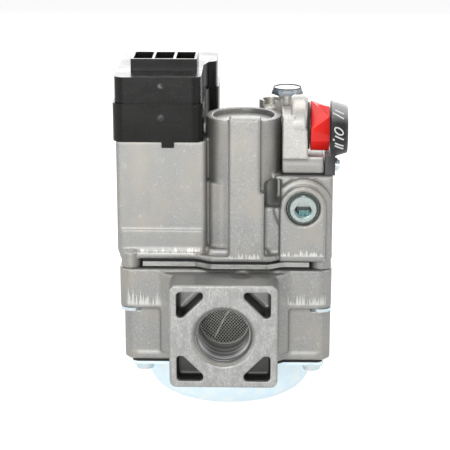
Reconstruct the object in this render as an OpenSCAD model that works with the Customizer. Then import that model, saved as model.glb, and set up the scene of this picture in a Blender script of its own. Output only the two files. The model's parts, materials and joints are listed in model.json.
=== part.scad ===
// Combination gas valve: two-part die-cast body, gas cock with a red lever,
// three solenoid operators, servo regulator, diaphragm operated main valve.
// Origin: centre of the inlet bore on the inlet flange face.
// +X right, +Y from inlet to outlet, +Z up, millimetres.

/* [Flow line] */
// Distance from the inlet flange face to the outlet flange face
face_to_face = 100; // [98:0.5:102]
// Width and height of the square port flange
flange_w = 47; // [46:0.5:48]
// Radius of the tapped port bore
port_r = 12.2; // [12:0.05:12.4]
// Length of the tapped port bore
port_len = 17; // [14:0.5:18]

/* [Lower body] */
// Height of the lower body above the port axis
lower_top = 24.6; // [24.5:0.05:24.8]
// Depth of the lower body below the port axis
lower_bottom = 18.1; // [17.9:0.05:18.2]
// Height of the ledge that the body screws pull on
ledge_z = 6.6; // [6:0.1:7]

/* [Upper body] */
// Thickness of the steel plate between the bodies
plate_t = 2.1; // [2:0.1:2.4]
// Height of the left block, which carries the electronics box
block_top = 81.3; // [81:0.1:82]
// Height of the tower rim
tower_top = 90.6; // [90:0.1:91]
// Outer radius of the tower
tower_r = 16.4; // [16.2:0.05:16.5]
// Height of the shelf under the cock housing
shelf_z = 66; // [65.8:0.1:66.2]

/* [Electronics box] */
// Height of the seam between box base and box cover
seam_z = 98; // [97:0.5:99]
// Height of the box cover
box_top = 109.4; // [109:0.1:110]
// Height of the terminal block
terminal_top = 114.8; // [114:0.1:115.5]
// Wall of the plastic box
box_wall = 1.6; // [1.4:0.1:2]

/* [Gas cock] */
// Radius of the red lever
lever_r = 10.8; // [10.4:0.1:10.9]
// Width of the red lever along its axis
lever_w = 8.6; // [8.2:0.1:8.7]

/* [Hidden] */
$fn = 48;
eps = 0.01;

// Body outline in plan
body_x0 = -46.3;
body_x1 = 47.1;
body_y0 = 18.6;
body_y1 = face_to_face - 18.6;
mid_y = face_to_face / 2;
half_w = flange_w / 2;

// Levels of the joint between the bodies
gasket_t = 1;
upper_gasket_t = 1.3;
cover_gasket_t = 0.9;
plate_z = lower_top + gasket_t;
upper_z = plate_z + plate_t + upper_gasket_t;

// Main valve
valve_x = 1.7;
seat_r = 13;
seat_z = -2;
bowl_r = 37.3;
cover_z = -lower_bottom - cover_gasket_t;
cover_t = 1.3;
bowl_depth = 19.3;
bowl_round = 9;
plate_up_z = -12.2;

// Fastener places
foot_x = [-41.1, 42.2];
foot_y = [23.6, face_to_face - 23.6];
pan_x = [-35.8, 38.8];
pan_y = [24.6, face_to_face - 24.6];

// Solenoids in the left block
coil_x = -27.6;
coil_y = [37, 63];
block_floor = 37;
coil_z = 43;
coil_h = 28;
tube_foot = block_floor + 0.02;
tube_top = coil_z + coil_h + 2.6;
plunger_foot = tube_foot + 1.02;
plunger_top = plunger_foot + 23;
plunger_r = 3.5;

// Terminal block
term_x0 = -41.1;
term_x1 = -12.3;
term_y0 = 35;
term_y1 = 53;
term_wall = 1.2;
term_pitch = (term_x1 - term_x0 - term_wall) / 3;
term_w = term_pitch - term_wall;
term_floor = box_top + 0.8;
function term_mid(i) = term_x0 + term_wall + term_w / 2 + i * term_pitch;

// Tower
tower_x = 7.9;
tower_y = 35;
tower_bore_r = 13.4;
tower_floor = 42;

// Safety solenoid in the tower; the tube's foot clears the lifted valve head
safety_z = 50;
safety_h = 32;
safety_foot = 48;

// Gas cock axis
cock_y = 34;
cock_z = 86;
cock_face_x = 35.9;
housing_y = 24.9;
housing_x = 24.8;
lever_x = 36.8;
dial_z = cock_z - 1.4;
dial_screw_y = 30;
dial_screw_z = 69.7;

// Regulator axis
reg_x = 27.1;
reg_y = 56;
stem_top = 95.4;
cap_h = 2.9;
vent_x = 19.7;
vent_y = 55.2;

// Screws that hold the cock housing
housing_screw_at = [[40.2, 66], [18.6, 71]];

// Pilot outlet port, 1/4 inch compression fitting
pilot_x = 21;
pilot_z = 42;
pilot_r = 5;
pilot_y0 = 70;
pilot_y1 = 78.6;

// Pressure tap
tap_x = 34;
tap_z = 52.8;
tap_r = 6.85;

// Rounded rectangle between two corners
module rrect(x0, x1, y0, y1, r) {
    translate([x0 + r, y0]) square([x1 - x0 - 2 * r, y1 - y0]);
    translate([x0, y0 + r]) square([x1 - x0, y1 - y0 - 2 * r]);
    for (x = [x0 + r, x1 - r])
        for (y = [y0 + r, y1 - r])
            translate([x, y]) circle(r);
}

// Slab with rounded vertical edges
module slab(x0, x1, y0, y1, z0, z1, r) {
    translate([0, 0, z0]) linear_extrude(z1 - z0) rrect(x0, x1, y0, y1, r);
}

// Box between two corners
module block(x0, x1, y0, y1, z0, z1) {
    translate([x0, y0, z0]) cube([x1 - x0, y1 - y0, z1 - z0]);
}

// Vertical tube or rod
module rod(x, y, z0, z1, r) {
    translate([x, y, z0]) cylinder(h = z1 - z0, r = r);
}

// Rod along Y
module rod_y(x, z, y0, y1, r) {
    translate([x, y0, z]) rotate([-90, 0, 0]) cylinder(h = y1 - y0, r = r);
}

// Rod along X
module rod_x(y, z, x0, x1, r) {
    translate([x0, y, z]) rotate([0, 90, 0]) cylinder(h = x1 - x0, r = r);
}

// Children at both ends of the flow line
module both_ends() {
    children();
    translate([0, face_to_face, 0]) mirror([0, 1, 0]) children();
}

// Coil spring as a swept wire with a hexagonal section
module spring(x, y, z0, z1, r, wire, turns) {
    n = 12 * turns;
    sides = 6;
    rise = z1 - z0 - 2 * wire;
    ring = [for (i = [0:n]) for (k = [0:sides - 1])
        let (a = 30 * i, b = 60 * k, q = r + wire * cos(b))
        [q * cos(a), q * sin(a), wire + rise * i / n + wire * sin(b) * 0.96]];
    skin = [for (i = [0:n - 1]) for (k = [0:sides - 1])
        let (m = (k + 1) % sides, a = i * sides, b = a + sides)
        for (half = [0, 1])
        half == 0 ? [a + k, a + m, b + m] : [a + k, b + m, b + k]];
    first = [for (k = [sides - 1:-1:0]) k];
    last = [for (k = [0:sides - 1]) n * sides + k];
    translate([x, y, z0]) polyhedron(ring, concat(skin, [first, last]), convexity = 6);
}

// ---- Lower body ----

// Cored pocket of the port flange: triangle with rounded corners
module pocket_2d() {
    near = 8.7;
    far = 20.3;
    round_r = 1.7;
    tip = far - round_r;
    low = near + round_r;
    // Hypotenuse side lies on the tangent of the corner circles
    cut = round_r * sqrt(0.5);
    for (p = [[tip, tip], [tip, low], [low, tip]]) translate(p) circle(round_r);
    polygon([
        [tip, tip], [tip, far], [low, far], [low, tip],
        [low - cut, tip - cut], [tip - cut, low - cut],
        [tip, low], [far, low], [far, tip]
    ]);
}

// Prism along Y of a shape drawn in X and Z
module prism_y(y0, y1) {
    translate([0, y1, 0]) rotate([90, 0, 0]) linear_extrude(y1 - y0) children();
}

module port_flange() {
    prism_y(0, 10) rrect(-half_w, half_w, -half_w, half_w, 3.2);
    prism_y(6, body_y0 + 3) rrect(-half_w, half_w, -13.8, half_w, 3.2);
    // Sloped shoulders into the body
    translate([0, 0, -13.8]) linear_extrude(lower_top + 12.6) polygon([
        [-28.4, body_y0 + 2], [-28.4, body_y0], [-half_w, body_y0 - 4],
        [half_w, body_y0 - 4], [28.4, body_y0], [28.4, body_y0 + 2]
    ]);
}

// Cored pockets: the upper two run deeper than the lower two
module flange_pockets() {
    for (turn = [0:3])
        prism_y(-1, turn < 2 ? 13.5 : 8.2) rotate(90 * turn) pocket_2d();
}

module lower_outline_2d(inset) {
    rrect(body_x0 + inset, body_x1 - inset, body_y0 + inset, body_y1 - inset, 5.5);
}

// Part of the lower body below the ledge, with a facet at each corner
module lower_skirt_2d() {
    polygon([
        [-44.6, 24.5], [-41.3, 20.4], [43.7, 20.4], [46.9, 24.5],
        [46.9, face_to_face - 24.5], [43.7, face_to_face - 20.4],
        [-41.3, face_to_face - 20.4], [-44.6, face_to_face - 24.5]
    ]);
}

module cover_outline_2d() {
    rrect(-41.3, 43.7, 20, face_to_face - 20, 3);
    translate([valve_x, mid_y]) circle(38.8, $fn = 96);
}

module lower_body() color([0.64, 0.64, 0.62]) difference() {
    union() {
        translate([0, 0, ledge_z]) linear_extrude(lower_top - ledge_z) lower_outline_2d(0);
        translate([0, 0, -lower_bottom]) linear_extrude(ledge_z + lower_bottom + 1) lower_skirt_2d();
        translate([0, 0, -lower_bottom]) linear_extrude(3.2) cover_outline_2d();
        both_ends() port_flange();
    }
    // Ports, chamfered at the mouth
    both_ends() {
        flange_pockets();
        rod_y(0, 0, -1, port_len, port_r);
        translate([0, -eps, 0]) rotate([-90, 0, 0]) cylinder(h = 1.6, r1 = 13.8, r2 = port_r);
        rod_y(0, 0, port_len - 1, 28.5, 11.6);
    }
    // Inlet chamber below the seat, outlet chamber above it
    rod(valve_x, mid_y, -lower_bottom - 1, seat_z - 1.3, 20);
    rod(valve_x, mid_y, -lower_bottom - 1, -11.95, 31);
    rod(valve_x, mid_y, seat_z - 2, 3, seat_r);
    block(-18, 21, 35, face_to_face - 19.5, 2, 20);
    rod_y(0, 0, 28, 32, 11.6);
    // Ejector pin marks on top of the port boss
    rod(7.6, 14.4, half_w - 0.8, 40, 4.6);
    rod(18.6, 14.4, half_w - 0.15, 40, 3.3);
    // Screw holes, with a seat for each head under the ledge
    for (x = foot_x) for (y = foot_y) {
        rod(x, y, ledge_z - 1.6, lower_top + 1, 2.7);
        rod(x, y, ledge_z - 1.6, ledge_z, 5.2);
    }
    for (x = pan_x) for (y = pan_y) rod(x, y, -lower_bottom - 1, -5, 1.95);
}
lower_body();

// ---- Upper body ----

// Joint face of the upper body, with the bulge under the tower
module joint_2d(inset, bulge_y) {
    rrect(body_x0 + inset, body_x1 - inset, 20 + inset, face_to_face - 20 - inset, 4);
    // Front edge runs forward and back again in two soft ramps
    ramp = 9;
    front = 20 + inset;
    rise = front - bulge_y - inset;
    polygon(concat(
        [[-14, front + 4]],
        [for (a = [0:15:180]) [-14 + inset + ramp * a / 180, front - rise * (1 - cos(a)) / 2]],
        [for (a = [180:-15:0]) [27 - inset - ramp * a / 180, front - rise * (1 - cos(a)) / 2]],
        [[27, front + 4]]
    ));
}

module left_block() {
    slab(-47, -8, 21.5, 78.5, upper_z + 3, block_top, 1.6);
    slab(-45.6, -8, 20.6, 79, upper_z, upper_z + 4, 3);
    // Step line near the foot of the front wall
    slab(-46.6, -8, 21, 78.8, upper_z + 2, 41.6, 2);
}

module tower() {
    rod(tower_x, tower_y, upper_z, tower_top, tower_r);
    slab(2, 15.4, 15.8, tower_y, upper_z, tower_top + 2.2, 0.8);
    slab(2, 17.2, 15.8, tower_y, upper_z, 60, 0.8);
    // Left flank and foot of the tower
    slab(-8.7, 10, 22, 38, upper_z, 63, 8.6);
    slab(-8.7, 21, 26, 50, upper_z, 60, 2);
    slab(-7, 19, 18.4, 30, upper_z, upper_z + 5, 1.5);
    slab(-9, 16, 45, 76, upper_z, 52, 2);
}

// Block with the tap boss, the pocket beside it and the shelf
module right_block() {
    slab(14, 46.9, 24.5, 79, upper_z, shelf_z, 2);
    slab(15, 46.9, 20.4, 79, upper_z, 52.6, 1.5);
    slab(22, 46.9, 22.4, 40, upper_z, shelf_z, 1);
    // Tap boss with its arched top, front and back
    translate([0, face_to_face, 0]) mirror([0, 1, 0]) tap_boss();
    tap_boss();
}

module tap_boss() {
    rod_y(tap_x, tap_z, 17, 30, 9.9);
    block(tap_x - 9.9, tap_x + 9.9, 17, 30, upper_z, tap_z);
    rod_y(tap_x, tap_z, 19.4, 30, 12.6);
    block(tap_x - 9.9, tap_x + 12.6, 19.4, 30, upper_z, tap_z);
}

module upper_body() color([0.62, 0.62, 0.6]) difference() {
    union() {
        translate([0, 0, upper_z]) linear_extrude(2.4) joint_2d(0, 16);
        left_block();
        tower();
        right_block();
        for (x = foot_x) for (y = foot_y) rod(x, y, lower_top + 0.02, upper_z + 3, 4.4);
    }
    // Coil chamber under the electronics box
    slab(-44, -11.2, 24.6, 75.4, block_floor, block_top + 1, 2);
    for (y = coil_y) {
        rod(coil_x, y, upper_z + 3, block_floor + 1, 1.2);
        rod(coil_x, y, upper_z - 1, upper_z + 5, 4);
    }
    // Safety valve chamber in the tower
    rod(tower_x, tower_y, tower_floor, tower_top + 3, tower_bore_r);
    rod(tower_x, tower_y, upper_z - 1, tower_floor + 1, 5);
    // Dark pocket between the tower and the tap boss
    difference() {
        prism_y(10, 37) polygon([[17.3, 52.6], [24.4, 52.6], [24.4, 64.9], [17.3, 63.3]]);
        rod(tower_x, tower_y, 50, 66, 14.9);
    }
    // Pressure taps
    both_ends() {
        rod_y(tap_x, tap_z, 16, 28, tap_r);
        rod_y(tap_x, tap_z, 16, 19.2, tap_r + 0.55);
        rod_y(tap_x, tap_z, 27, 34, 2);
    }
    // Cock outlet and regulator chamber under the housing
    rod(32.6, cock_y, 58, shelf_z + 1, 1.6);
    rod(reg_x, reg_y, 60, shelf_z + 1, 7.5);
    rod(reg_x, reg_y, 50, 61, 2.4);
    // Pilot outlet port on the far side
    rod_y(pilot_x, pilot_z, pilot_y0, pilot_y1 + 1, pilot_r);
    rod_y(pilot_x, pilot_z, pilot_y1, face_to_face, pilot_r + 1.3);
    rod_y(pilot_x, pilot_z, pilot_y0 - 10, pilot_y0 + 1, 1.5);
    // Body screw holes
    for (x = foot_x) for (y = foot_y) rod(x, y, lower_top, upper_z + 12, 2.35);
    // Housing screw holes
    for (p = housing_screw_at) rod(p[0], p[1], 57, shelf_z + 1, 1.45);
}
upper_body();

// ---- Cock housing ----

// Foot of the housing, clear of the tower
module housing_foot_2d() {
    rrect(housing_x, 43.3, housing_y + 0.5, 74.8, 1.2);
    rrect(14.4, 30, 53.6, 74.8, 1.2);
}

// Round barrel about the cock axis, with soft rims
module cock_barrel() {
    r = 11.1;
    w = cock_face_x - 28.4;
    rim = 1.8;
    translate([28.4, 35.8, 87.9]) rotate([0, 90, 0]) rotate_extrude($fn = 96) {
        square([r - rim, w]);
        translate([0, rim]) square([r, w - 2 * rim]);
        for (x = [rim, w - rim]) translate([r - rim, x]) circle(rim);
    }
}

module housing_solid() {
    foot_z = shelf_z + 0.6;
    translate([0, 0, foot_z]) linear_extrude(4.2) housing_foot_2d();
    cock_barrel();
    block(28.5, cock_face_x - 0.1, housing_y, 47, 73, cock_z);
    block(housing_x, 30, housing_y, 46, 73, 92);
    // Slightly set back below the barrel, and under the lever
    block(housing_x, 42.8, housing_y + 0.6, 47, foot_z + 1, 74);
    // Spring chamber, stem and vent boss
    slab(17, 35.3, 44, 67.5, foot_z + 1, 85, 3);
    rod(reg_x, reg_y, 84, stem_top, 3.9);
    rod(vent_x, vent_y, foot_z, 93.4, 5.1);
}

module cock_housing() color([0.78, 0.76, 0.73]) difference() {
    housing_solid();
    // Room for the tower
    rod(tower_x, tower_y, shelf_z, cock_z + 20, tower_r + 0.4);
    // Cock bore, open towards the lever
    rod_x(cock_y, cock_z, 29.4, 50, 6.6);
    rod(32.6, cock_y, 60, 83, 1.6);
    // Spring chamber and stem bore
    rod(reg_x, reg_y, 60, 82, 6.5);
    rod(reg_x, reg_y, 60, 71.2, 8);
    rod(reg_x, reg_y, 80, 100, 2.7);
    // Vent
    rod(vent_x, vent_y, 89, 100, 3.5);
    rod(vent_x, vent_y, 78, 90, 1.6);
    block(vent_x - 2.7, vent_x + 1.9, vent_y - 8, vent_y, 90.2, 100);
    // Screw holes
    for (p = housing_screw_at) {
        rod(p[0], p[1], 60, 90, 1.75);
        rod(p[0], p[1], 69, 90, 3.2);
    }
    // Dial screw hole
    rod_x(dial_screw_y, dial_screw_z, 36, 50, 1.45);
}
cock_housing();

module housing_gasket() color([0.1, 0.1, 0.1]) difference() {
    translate([0, 0, shelf_z + 0.02]) linear_extrude(0.56) housing_foot_2d();
    rod(32.6, cock_y, 60, 70, 1.8);
    rod(reg_x, reg_y, 60, 70, 8.2);
    for (p = housing_screw_at) rod(p[0], p[1], 60, 70, 1.75);
}
housing_gasket();

module housing_screws() color([0.8, 0.84, 0.86])
    for (p = housing_screw_at) difference() {
        union() {
            rod(p[0], p[1], 58, 69.1, 1.45);
            rod(p[0], p[1], 69.02, 71.4, 3);
        }
        translate([p[0], p[1], 70]) cylinder(h = 3, r = 1.5, $fn = 6);
    }
housing_screws();

// ---- Plate, gaskets and fasteners between the bodies ----

module joint_ports() {
    // Gas ways from the lower body to the tower and the coil chamber
    rod(tower_x, tower_y, 0, 60, 5);
    for (y = coil_y) rod(coil_x, y, 0, 60, 4);
    for (x = foot_x) for (y = foot_y) rod(x, y, 0, 60, 6.2);
    block(-60, foot_x[0], -20, foot_y[0] + 6.2, 0, 60);
    block(foot_x[1], 60, -20, foot_y[0] + 6.2, 0, 60);
    block(-60, foot_x[0], foot_y[1] - 6.2, 120, 0, 60);
    block(foot_x[1], 60, foot_y[1] - 6.2, 120, 0, 60);
}

module joint_sheet(z, t, inset, bulge_y) {
    difference() {
        translate([0, 0, z + 0.01]) linear_extrude(t - 0.02) joint_2d(inset, bulge_y);
        joint_ports();
    }
}

module separator_plate() color([0.8, 0.8, 0.8]) joint_sheet(plate_z, plate_t, 0.2, 16.4);
separator_plate();

module lower_gasket() color([0.08, 0.08, 0.08]) joint_sheet(lower_top, gasket_t, 1.4, 19.2);
lower_gasket();

module upper_gasket() color([0.08, 0.08, 0.08])
    joint_sheet(plate_z + plate_t, upper_gasket_t, 1.2, 16.4);
upper_gasket();

module body_screws() color([0.78, 0.85, 0.88])
    for (x = foot_x) for (y = foot_y) difference() {
        union() {
            rod(x, y, ledge_z - 0.1, upper_z + 10, 2.33);
            rod(x, y, ledge_z - 1.5, ledge_z - 0.02, 4.9);
        }
        translate([x, y, ledge_z - 2]) cylinder(h = 1.3, r = 2.4, $fn = 6);
    }
body_screws();

// ---- Bottom cover and main valve ----

// Bowl section: flange, straight wall, rounded foot, flat floor
module bowl_2d(r, z, round_r) {
    polygon(concat(
        [[0, cover_z + 5], [r, cover_z + 5], [r, z + round_r]],
        [for (a = [0:10:90]) [r - round_r + round_r * cos(a), z + round_r - round_r * sin(a)]],
        [[0, z]]
    ));
}

module bottom_cover() color([0.8, 0.88, 0.92]) difference() {
    union() {
        translate([0, 0, cover_z - cover_t]) linear_extrude(cover_t - 0.02) cover_outline_2d();
        translate([valve_x, mid_y, 0]) intersection() {
            rotate_extrude($fn = 96) bowl_2d(bowl_r, cover_z - bowl_depth, bowl_round);
            translate([-50, -50, -60]) cube([100, 100, 60 + cover_z - 0.5]);
        }
    }
    translate([valve_x, mid_y, 0]) rotate_extrude($fn = 96)
        bowl_2d(bowl_r - 1.4, cover_z - bowl_depth + 1.4, bowl_round - 1.4);
    for (x = pan_x) for (y = pan_y) rod(x, y, -40, 0, 2.2);
}
bottom_cover();

module cover_gasket() color([0.06, 0.06, 0.06]) difference() {
    translate([0, 0, cover_z]) linear_extrude(cover_gasket_t - 0.02) cover_outline_2d();
    rod(valve_x, mid_y, -40, 0, 34);
    for (x = pan_x) for (y = pan_y) rod(x, y, -40, 0, 2.2);
}
cover_gasket();

module cover_screws() color([0.85, 0.86, 0.88])
    for (x = pan_x) for (y = pan_y) difference() {
        union() {
            rod(x, y, cover_z - cover_t - 0.1, -7, 1.95);
            rod(x, y, cover_z - cover_t - 0.9, cover_z - cover_t - 0.02, 5.2);
            rod(x, y, cover_z - cover_t - 3, cover_z - cover_t - 0.8, 3.9);
        }
        block(x - 3, x + 3, y - 0.5, y + 0.5, -30, cover_z - cover_t - 1.8);
        block(x - 0.5, x + 0.5, y - 3, y + 3, -30, cover_z - cover_t - 1.8);
    }
cover_screws();

// Rubber diaphragm: clamped bead and a convolution up to the plate
module main_diaphragm() color([0.12, 0.1, 0.1])
    translate([valve_x, mid_y, 0]) rotate_extrude($fn = 96) polygon([
        [33.8, cover_z + 0.05], [33.8, cover_z + 0.85], [29.4, cover_z + 0.85],
        [25.5, plate_up_z - 0.4], [22, plate_up_z - 0.4], [22, plate_up_z - 1.2],
        [25, plate_up_z - 1.2], [28.6, cover_z + 0.05]
    ]);
main_diaphragm();

module diaphragm_plate() color([0.75, 0.76, 0.76]) difference() {
    rod(valve_x, mid_y, plate_up_z - 1.6, plate_up_z, 21.5);
    rod(valve_x, mid_y, -40, 0, 3);
}
diaphragm_plate();

module main_valve_stem() color([0.8, 0.8, 0.8]) {
    rod(valve_x, mid_y, plate_up_z - 4, plate_up_z - 1.62, 5);
    rod(valve_x, mid_y, plate_up_z - 1.7, seat_z - 4.9, 2.98);
    rod(valve_x, mid_y, seat_z - 6, seat_z - 4.6, 13.5);
    rod(valve_x, mid_y, seat_z - 5, seat_z + 1, 2.9);
    rod(valve_x, mid_y, seat_z - 0.1, seat_z + 1.2, 5.5);
}
main_valve_stem();

module main_valve_disc() color([0.12, 0.12, 0.12]) difference() {
    rod(valve_x, mid_y, seat_z - 4.58, seat_z - 2.02, 16);
    rod(valve_x, mid_y, -40, 0, 2.95);
}
main_valve_disc();

module main_spring() color([0.7, 0.7, 0.7])
    spring(valve_x, mid_y, cover_z - bowl_depth + 1.45, plate_up_z - 1.65, 13, 0.9, 4);
main_spring();

module inlet_screen() color([0.6, 0.6, 0.58]) {
    difference() {
        rod_y(0, 0, 17.2, 18.6, 11.55);
        rod_y(0, 0, 16, 20, 10.6);
    }
    translate([0, 18.4, 0]) rotate([-90, 0, 0]) difference() {
        cylinder(h = 9, r1 = 11.4, r2 = 3);
        translate([0, 0, -0.5]) cylinder(h = 9, r1 = 11.2, r2 = 2.8);
    }
}
inlet_screen();

module tap_plug() difference() {
    union() {
        rod_y(tap_x, tap_z, 18.8, 26.5, tap_r - 0.02);
        translate([tap_x, 16.6, tap_z]) rotate([-90, 0, 0])
            cylinder(h = 2.21, r1 = 5.7, r2 = tap_r - 0.1);
    }
    translate([tap_x, 16, tap_z]) rotate([-90, 0, 0]) cylinder(h = 6, r = 3.67, $fn = 6);
    rod_y(tap_x, tap_z, 16, 17.5, 4.05);
    // Wrench mark across the rim
    block(tap_x - 0.9, tap_x + 0.7, 16, 17.4, tap_z + 3.6, tap_z + 8);
}

module pressure_tap_plugs() color([0.75, 0.8, 0.8]) both_ends() tap_plug();
pressure_tap_plugs();

module tower_cap() color([0.72, 0.72, 0.7])
    rod(tower_x, tower_y, tower_top - 4, tower_top - 2.4, tower_bore_r - 0.01);
tower_cap();

// ---- Electronics box ----

// Box outline: the back part reaches further right, behind the tower
module box_2d(inset) {
    difference() {
        union() {
            rrect(-48.3 + inset, -9.2 - inset, 20.4 + inset, 82 - inset, 5 - inset);
            rrect(-40, -3.6 - inset, 57 + inset, 82 - inset, 4 - inset);
            polygon([[-12, 44], [-9.2 - inset, 50], [-7 - inset, 57.5], [-7 - inset, 64], [-20, 60]]);
        }
        translate([tower_x, tower_y]) circle(17 + inset, $fn = 96);
    }
}

module box_base() color([0.1, 0.1, 0.1]) difference() {
    union() {
        translate([0, 0, block_top + 0.02]) linear_extrude(seam_z - block_top - 0.04) box_2d(0);
        // Snap tab over the front of the casting
        block(-27.1, -21.8, 20.05, 21.4, 78.9, 84.4);
    }
    translate([0, 0, block_top + box_wall]) linear_extrude(40) box_2d(box_wall);
    // Openings over the coils
    for (y = coil_y) rod(coil_x, y, 70, 90, 9);
}
box_base();

module box_cover() color([0.11, 0.11, 0.11]) difference() {
    translate([0, 0, seam_z]) linear_extrude(box_top - seam_z) box_2d(0.9);
    translate([0, 0, seam_z - 1]) linear_extrude(box_top - seam_z + 1 - box_wall) box_2d(0.9 + box_wall);
    block(term_x0 + 2, term_x1 - 2, term_y0 + 2, term_y1 - 2, 90, 120);
}
box_cover();

// Terminal block: three open compartments in a row
module terminal_block() color([0.1, 0.1, 0.1]) difference() {
    block(term_x0, term_x1, term_y0, term_y1, box_top + 0.02, terminal_top);
    for (i = [0:2]) {
        block(term_mid(i) - term_w / 2, term_mid(i) + term_w / 2, term_y0 + term_wall,
            term_y1 - term_wall, term_floor, terminal_top + 1);
        block(term_mid(i) - 3.3, term_mid(i) + 3.3, 43.5, 44.5, 100, terminal_top - 2.4);
    }
}
terminal_block();

module terminal_blades() color([0.85, 0.82, 0.7])
    for (i = [0:2]) difference() {
        block(term_mid(i) - 3.15, term_mid(i) + 3.15, 43.6, 44.4, 92.8, terminal_top - 2.5);
        rod_y(term_mid(i), 108, 40, 50, 0.8);
    }
terminal_blades();

module circuit_board() color([0.1, 0.35, 0.2]) difference() {
    slab(-45, -12.2, 24, 78, 91.2, 92.78, 2);
    for (y = [29, 74]) rod(-16, y, 90, 94, 1.6);
}
circuit_board();

module board_components() color([0.2, 0.25, 0.3]) {
    // Relay, capacitors and a transformer
    slab(-43, -28, 58, 76, 92.8, 105, 0.6);
    for (i = [0:2]) rod(-40 + 8 * i, 29, 92.8, 103, 3);
    block(-24, -15, 60, 72, 92.8, 101);
    for (i = [0:3]) block(-42 + 7 * i, -38 + 7 * i, 36, 38.4, 92.8, 95);
}
board_components();

// ---- Solenoids ----

module coil_bobbins() color([0.9, 0.88, 0.8])
    for (y = coil_y) bobbin(coil_x, y, coil_z, coil_h, 4.15, 10.6);
coil_bobbins();

// Bobbin: tube with a flange at each end
module bobbin(x, y, z, h, bore, r) {
    difference() {
        union() {
            rod(x, y, z, z + h, bore + 1);
            rod(x, y, z, z + 1.4, r);
            rod(x, y, z + h - 1.4, z + h, r);
        }
        rod(x, y, z - 1, z + h + 1, bore);
    }
}

module winding(x, y, z, h, bore, r) {
    difference() {
        rod(x, y, z + 1.42, z + h - 1.42, r);
        rod(x, y, z - 1, z + h + 1, bore + 1.02);
    }
}

module coil_windings() color([0.72, 0.4, 0.2])
    for (y = coil_y) winding(coil_x, y, coil_z, coil_h, 4.15, 9.8);
coil_windings();

// C-shaped steel yoke round each coil
module coil_yokes() color([0.7, 0.7, 0.72])
    for (y = coil_y) difference() {
        block(coil_x - 12.6, coil_x + 12.6, y - 8, y + 8, coil_z - 2, coil_z + coil_h + 2);
        block(coil_x - 10.8, coil_x + 14, y - 9, y + 9, coil_z - 0.02, coil_z + coil_h + 0.02);
        rod(coil_x, y, 30, 90, 4.12);
    }
coil_yokes();

// Armature tube, closed at the top, with a foot flange
module armature_tubes() color([0.8, 0.8, 0.8])
    for (y = coil_y) difference() {
        union() {
            rod(coil_x, y, tube_foot, tube_top, 4.08);
            rod(coil_x, y, tube_foot, tube_foot + 1.4, 7.5);
        }
        rod(coil_x, y, tube_foot - 1, tube_top - 1, 3.55);
    }
armature_tubes();

// Steel plunger with a spring pocket in its top and a seat pocket below
module plunger(x, y, z0, z1, r, pocket_r, seat_pocket_r) {
    difference() {
        rod(x, y, z0, z1, r);
        rod(x, y, z1 - 5, z1 + 1, pocket_r);
        rod(x, y, z0 - 1, z0 + 1.5, seat_pocket_r);
    }
}

module pilot_plunger() color([0.75, 0.75, 0.77])
    plunger(coil_x, coil_y[0], plunger_foot, plunger_top, plunger_r, 2.3, 2.2);
pilot_plunger();

module main_plunger() color([0.75, 0.75, 0.77])
    plunger(coil_x, coil_y[1], plunger_foot, plunger_top, plunger_r, 2.3, 2.2);
main_plunger();

module pilot_seat() color([0.1, 0.1, 0.1])
    rod(coil_x, coil_y[0], block_floor + 0.02, plunger_foot + 1.48, 2.18);
pilot_seat();

module main_seat() color([0.1, 0.1, 0.1])
    rod(coil_x, coil_y[1], block_floor + 0.02, plunger_foot + 1.48, 2.18);
main_seat();

module pilot_spring() color([0.7, 0.7, 0.7])
    spring(coil_x, coil_y[0], plunger_top - 4.97, tube_top - 1.03, 1.7, 0.3, 6);
pilot_spring();

module main_plunger_spring() color([0.7, 0.7, 0.7])
    spring(coil_x, coil_y[1], plunger_top - 4.97, tube_top - 1.03, 1.7, 0.3, 6);
main_plunger_spring();

// Safety solenoid in the tower
module safety_bobbin() color([0.9, 0.88, 0.8])
    bobbin(tower_x, tower_y, safety_z, safety_h, 5.25, 13.1);
safety_bobbin();

module safety_winding() color([0.72, 0.4, 0.2])
    winding(tower_x, tower_y, safety_z, safety_h, 5.25, 12.4);
safety_winding();

module safety_tube() color([0.8, 0.8, 0.8]) difference() {
    union() {
        rod(tower_x, tower_y, safety_foot, safety_z + safety_h + 1, 5.18);
        rod(tower_x, tower_y, safety_foot, safety_z - 0.6, 13.35);
    }
    rod(tower_x, tower_y, 40, safety_z + safety_h, 4.55);
}
safety_tube();

module safety_plunger() color([0.75, 0.75, 0.77]) {
    plunger(tower_x, tower_y, 45.5, 71, 4.5, 3, 1);
    difference() {
        rod(tower_x, tower_y, 43.8, 45.52, 7.5);
        rod(tower_x, tower_y, 43, 47, 1);
    }
}
safety_plunger();

module safety_seat() color([0.1, 0.1, 0.1]) {
    rod(tower_x, tower_y, tower_floor + 0.02, 43.78, 7.2);
    rod(tower_x, tower_y, 43.7, 46.4, 0.98);
}
safety_seat();

module safety_spring() color([0.7, 0.7, 0.7])
    spring(tower_x, tower_y, 66.03, safety_z + safety_h - 0.03, 2.3, 0.4, 7);
safety_spring();

// ---- Gas cock ----

module cock_plug() color([0.8, 0.65, 0.3]) difference() {
    rod_x(cock_y, cock_z, 29.9, 34.4, 6.55);
    rod_x(cock_y, cock_z, 29, 31.1, 4.3);
    // Gas way, across the flow while the cock is shut
    rod_y(32.6, cock_z, cock_y - 8, cock_y + 8, 1.2);
}
cock_plug();

module cock_spring() color([0.7, 0.7, 0.7])
    translate([29.42, cock_y, cock_z]) rotate([0, 90, 0]) spring(0, 0, 0, 1.66, 3.4, 0.2, 2);
cock_spring();

module lever_spindle() color([0.78, 0.78, 0.8]) difference() {
    rod_x(cock_y, cock_z, 34.42, 43.5, 2.95);
    // Tapped hole for the lever screw
    rod_x(cock_y, cock_z, 38, 44, 1.3);
    // Flat that drives the lever
    block(36.9, 44, cock_y - 5, cock_y + 5, cock_z + 2.1, cock_z + 5);
}
lever_spindle();

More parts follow.
